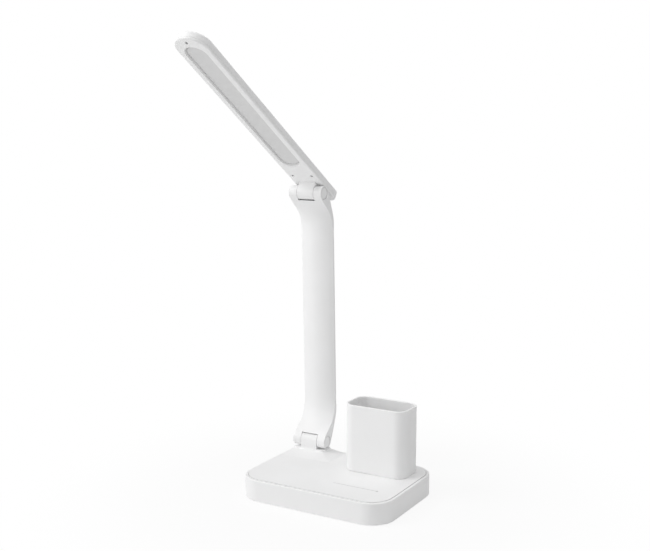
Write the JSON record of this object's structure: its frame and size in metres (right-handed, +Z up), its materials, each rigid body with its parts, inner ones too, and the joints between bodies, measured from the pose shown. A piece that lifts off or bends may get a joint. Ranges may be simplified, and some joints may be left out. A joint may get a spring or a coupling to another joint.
{
  "type": "desk lamp with pen cup base",
  "caption": "Cordless desk lamp with a slim light head, a C-shaped arm hinged at both ends, and a flat touch-control base that carries a pen cup.",
  "frame": {"origin": "centre of the base's footprint, on the surface the lamp stands on", "axes": "+X to the lamp's right, where the pen cup stands; +Y to its rear, where the arm is hinged; +Z up"},
  "size_m": [0.168, 0.2415, 0.4564],
  "materials": {
    "shell_white": "satin moulded ABS",
    "rubber_grey": "fine-textured mat",
    "screw_steel": "blackened zinc",
    "ballast_steel": "galvanised sheet",
    "battery_wrap": "silver pouch film",
    "circuit_board": "solder mask",
    "component_black": "moulded packages",
    "inlay_grey": "printed grey inlay",
    "copper_foil": "bright foil",
    "foam_black": "open cell, conductive",
    "socket_metal": "nickel plated",
    "washer_nylon": "natural nylon",
    "lead_jacket": "smooth jacket",
    "pin_steel": "turned and plated",
    "diffuser_milky": "milky translucent sheet, matt",
    "led_board_white": "white solder mask",
    "led_phosphor": "phosphor under clear resin"
  },
  "bodies": {
    "base": {"base_body": "shell_white", "top_cover": "shell_white", "non_slip_mat": "rubber_grey", "base_screws": "screw_steel", "ballast_plate": "ballast_steel", "battery_pack": "battery_wrap", "control_board": "circuit_board", "board_parts": "component_black", "board_screws": "screw_steel", "touch_inlay": "inlay_grey", "touch_electrode": "copper_foil", "touch_foam": "foam_black", "charge_socket": "socket_metal", "socket_board": "circuit_board", "pen_cup": "shell_white", "cup_screws": "screw_steel", "lower_friction_washers": "washer_nylon", "battery_wires": "lead_jacket", "socket_wires": "lead_jacket", "hinge_lead": "lead_jacket"},
    "arm": {"arm_front_shell": "shell_white", "arm_rear_shell": "shell_white", "arm_screws": "screw_steel", "arm_lead": "lead_jacket", "lower_hinge_pin": "pin_steel", "lower_spring_washer": "pin_steel", "lower_hinge_nut": "pin_steel", "lower_hinge_caps": "shell_white", "upper_hinge_pin": "pin_steel", "upper_spring_washer": "pin_steel", "upper_hinge_nut": "pin_steel", "upper_hinge_caps": "shell_white"},
    "head": {"head_top_shell": "shell_white", "head_frame": "shell_white", "diffuser": "diffuser_milky", "led_board": "led_board_white", "led_chips": "led_phosphor", "head_screws": "screw_steel", "head_hinge_block": "shell_white", "flange_screws": "screw_steel", "upper_friction_washers": "washer_nylon"}
  },
  "joints": [
    {"name": "arm_tilt", "type": "hinge", "parent": "base", "child": "arm", "pos_m": [-0.059, 0.047, 0.03585], "axis": [1, 0, 0], "range_deg": [-30, 55]},
    {"name": "head_tilt", "type": "hinge", "parent": "arm", "child": "head", "pos_m": [-0.059, 0.0406, 0.30495], "axis": [1, 0, 0], "range_deg": [-18, 122]}
  ]
}
